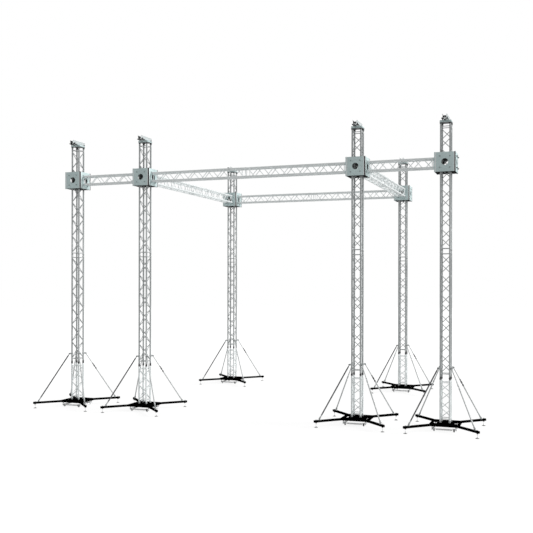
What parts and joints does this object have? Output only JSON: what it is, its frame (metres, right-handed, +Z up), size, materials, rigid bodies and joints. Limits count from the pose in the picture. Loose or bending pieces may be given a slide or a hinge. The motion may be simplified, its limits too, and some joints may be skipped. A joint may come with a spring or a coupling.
{
  "type": "stage roof truss system",
  "caption": "Ground-support stage roof: lattice truss towers on braced outrigger bases carry a square roof grid with side wings, lifted on sleeve blocks.",
  "frame": {"origin": "on the floor below the middle of the roof, at the centre of the footprint", "axes": "+X to the right along the front line of towers, +Y to the rear of the stage, +Z up"},
  "size_m": [13.2012, 8.46, 8.177],
  "materials": {
    "truss_aluminium": "mill-finish aluminium tube, lightly brushed",
    "plate_aluminium": "blue-grey matt aluminium plate",
    "black_steel": "black powder coat",
    "pulley_iron": "dark painted casting"
  },
  "bodies": {
    "towers": {"base_frame_left_wing": "black_steel", "mast_base_left_wing": "truss_aluminium", "mast_lower_left_wing": "truss_aluminium", "mast_upper_left_wing": "truss_aluminium", "head_left_wing": "plate_aluminium", "base_frame_front_left": "black_steel", "mast_base_front_left": "truss_aluminium", "mast_lower_front_left": "truss_aluminium", "mast_upper_front_left": "truss_aluminium", "head_front_left": "plate_aluminium", "base_frame_front_right": "black_steel", "mast_base_front_right": "truss_aluminium", "mast_lower_front_right": "truss_aluminium", "mast_upper_front_right": "truss_aluminium", "head_front_right": "plate_aluminium", "base_frame_right_wing": "black_steel", "mast_base_right_wing": "truss_aluminium", "mast_lower_right_wing": "truss_aluminium", "mast_upper_right_wing": "truss_aluminium", "head_right_wing": "plate_aluminium", "base_frame_rear_left": "black_steel", "mast_base_rear_left": "truss_aluminium", "mast_lower_rear_left": "truss_aluminium", "mast_upper_rear_left": "truss_aluminium", "head_rear_left": "plate_aluminium", "base_frame_rear_right": "black_steel", "mast_base_rear_right": "truss_aluminium", "mast_lower_rear_right": "truss_aluminium", "mast_upper_rear_right": "truss_aluminium", "head_rear_right": "plate_aluminium"},
    "roof_grid": {"sleeve_block_left_wing": "plate_aluminium", "sleeve_block_front_left": "plate_aluminium", "sleeve_block_front_right": "plate_aluminium", "sleeve_block_right_wing": "plate_aluminium", "sleeve_block_rear_left": "plate_aluminium", "sleeve_block_rear_right": "plate_aluminium", "wing_span_left": "truss_aluminium", "front_span_1": "truss_aluminium", "front_span_2": "truss_aluminium", "wing_span_right": "truss_aluminium", "rear_span_1": "truss_aluminium", "rear_span_2": "truss_aluminium", "side_span_left_1": "truss_aluminium", "side_span_left_2": "truss_aluminium", "side_span_right_1": "truss_aluminium", "side_span_right_2": "truss_aluminium"},
    "pulley_front_left_wing": {"pulley_front_left_wing": "pulley_iron"},
    "pulley_rear_left_wing": {"pulley_rear_left_wing": "pulley_iron"},
    "pulley_front_front_left": {"pulley_front_front_left": "pulley_iron"},
    "pulley_rear_front_left": {"pulley_rear_front_left": "pulley_iron"},
    "pulley_front_front_right": {"pulley_front_front_right": "pulley_iron"},
    "pulley_rear_front_right": {"pulley_rear_front_right": "pulley_iron"},
    "pulley_front_right_wing": {"pulley_front_right_wing": "pulley_iron"},
    "pulley_rear_right_wing": {"pulley_rear_right_wing": "pulley_iron"},
    "pulley_front_rear_left": {"pulley_front_rear_left": "pulley_iron"},
    "pulley_rear_rear_left": {"pulley_rear_rear_left": "pulley_iron"},
    "pulley_front_rear_right": {"pulley_front_rear_right": "pulley_iron"},
    "pulley_rear_rear_right": {"pulley_rear_rear_right": "pulley_iron"}
  },
  "joints": [
    {"name": "roof_lift", "type": "slide", "parent": "towers", "child": "roof_grid", "axis": [0, 0, 1], "range_m": [-4.95, 0.7]},
    {"name": "pulley_front_left_wing_spin", "type": "hinge", "parent": "towers", "child": "pulley_front_left_wing", "pos_m": [-5.64605, -3.52745, 8.11], "axis": [1, 0, 0], "continuous": true},
    {"name": "pulley_rear_left_wing_spin", "type": "hinge", "parent": "towers", "child": "pulley_rear_left_wing", "pos_m": [-5.64605, -3.02345, 8.11], "axis": [1, 0, 0], "continuous": true},
    {"name": "pulley_front_front_left_spin", "type": "hinge", "parent": "towers", "child": "pulley_front_front_left", "pos_m": [-3.27545, -3.52745, 8.11], "axis": [1, 0, 0], "continuous": true},
    {"name": "pulley_rear_front_left_spin", "type": "hinge", "parent": "towers", "child": "pulley_rear_front_left", "pos_m": [-3.27545, -3.02345, 8.11], "axis": [1, 0, 0], "continuous": true},
    {"name": "pulley_front_front_right_spin", "type": "hinge", "parent": "towers", "child": "pulley_front_front_right", "pos_m": [3.27545, -3.52745, 8.11], "axis": [1, 0, 0], "continuous": true},
    {"name": "pulley_rear_front_right_spin", "type": "hinge", "parent": "towers", "child": "pulley_rear_front_right", "pos_m": [3.27545, -3.02345, 8.11], "axis": [1, 0, 0], "continuous": true},
    {"name": "pulley_front_right_wing_spin", "type": "hinge", "parent": "towers", "child": "pulley_front_right_wing", "pos_m": [5.64605, -3.52745, 8.11], "axis": [1, 0, 0], "continuous": true},
    {"name": "pulley_rear_right_wing_spin", "type": "hinge", "parent": "towers", "child": "pulley_rear_right_wing", "pos_m": [5.64605, -3.02345, 8.11], "axis": [1, 0, 0], "continuous": true},
    {"name": "pulley_front_rear_left_spin", "type": "hinge", "parent": "towers", "child": "pulley_front_rear_left", "pos_m": [-3.27545, 3.02345, 8.11], "axis": [1, 0, 0], "continuous": true},
    {"name": "pulley_rear_rear_left_spin", "type": "hinge", "parent": "towers", "child": "pulley_rear_rear_left", "pos_m": [-3.27545, 3.52745, 8.11], "axis": [1, 0, 0], "continuous": true},
    {"name": "pulley_front_rear_right_spin", "type": "hinge", "parent": "towers", "child": "pulley_front_rear_right", "pos_m": [3.27545, 3.02345, 8.11], "axis": [1, 0, 0], "continuous": true},
    {"name": "pulley_rear_rear_right_spin", "type": "hinge", "parent": "towers", "child": "pulley_rear_rear_right", "pos_m": [3.27545, 3.52745, 8.11], "axis": [1, 0, 0], "continuous": true}
  ]
}
